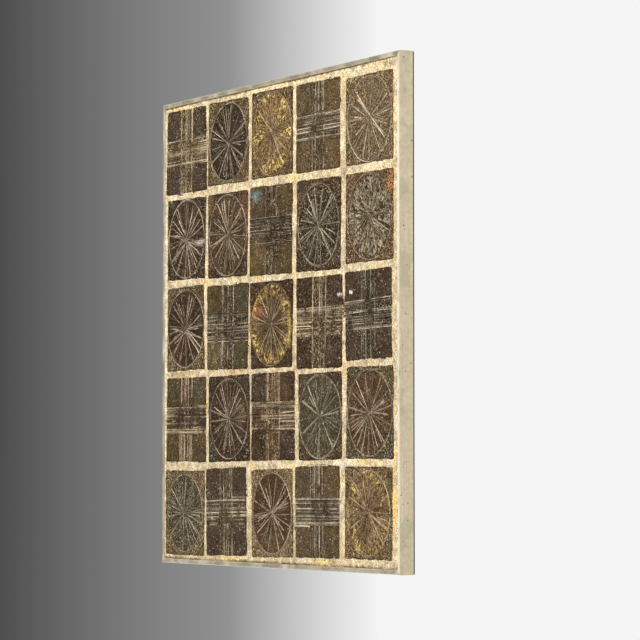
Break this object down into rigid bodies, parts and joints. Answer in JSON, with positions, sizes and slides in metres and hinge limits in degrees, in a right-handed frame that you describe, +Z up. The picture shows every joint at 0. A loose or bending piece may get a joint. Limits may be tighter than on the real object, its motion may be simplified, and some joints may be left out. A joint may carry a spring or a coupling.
{
  "type": "ceramic tile wall relief",
  "caption": "Square wall relief of scratched, glazed stoneware tiles with wheel and crossed-band motifs, grouted on a dark board inside a mitred metal frame.",
  "frame": {"origin": "centre of the back face that lies against the wall", "axes": "+Z up the wall; +Y into the wall, so the tiles face -Y; +X to the right of a person who looks at the tiles"},
  "size_m": [1, 0.033, 1],
  "materials": {
    "satin_metal": "satin",
    "blackened_board": "matte",
    "sandy_grout": "matte",
    "olive_glaze": "satin",
    "umber_glaze": "satin",
    "amber_glaze": "satin",
    "moss_glaze": "satin",
    "ash_glaze": "satin",
    "plum_glaze": "satin",
    "ochre_glaze": "satin"
  },
  "bodies": {
    "root": {"backing_board": "blackened_board", "grout_bed": "sandy_grout", "frame_rail_top": "satin_metal", "frame_rail_left": "satin_metal", "frame_rail_bottom": "satin_metal", "frame_rail_right": "satin_metal", "tile_row1_column1": "olive_glaze", "tile_row1_column2": "umber_glaze", "tile_row1_column3": "amber_glaze", "tile_row1_column4": "moss_glaze", "tile_row1_column5": "umber_glaze", "tile_row2_column1": "umber_glaze", "tile_row2_column2": "umber_glaze", "tile_row2_column3": "moss_glaze", "tile_row2_column4": "moss_glaze", "tile_row2_column5": "ash_glaze", "tile_row3_column1": "umber_glaze", "tile_row3_column2": "moss_glaze", "tile_row3_column3": "amber_glaze", "tile_row3_column4": "olive_glaze", "tile_row3_column5": "plum_glaze", "tile_row4_column1": "ochre_glaze", "tile_row4_column2": "umber_glaze", "tile_row4_column3": "olive_glaze", "tile_row4_column4": "moss_glaze", "tile_row4_column5": "umber_glaze", "tile_row5_column1": "moss_glaze", "tile_row5_column2": "plum_glaze", "tile_row5_column3": "umber_glaze", "tile_row5_column4": "plum_glaze", "tile_row5_column5": "amber_glaze"}
  },
  "joints": []
}
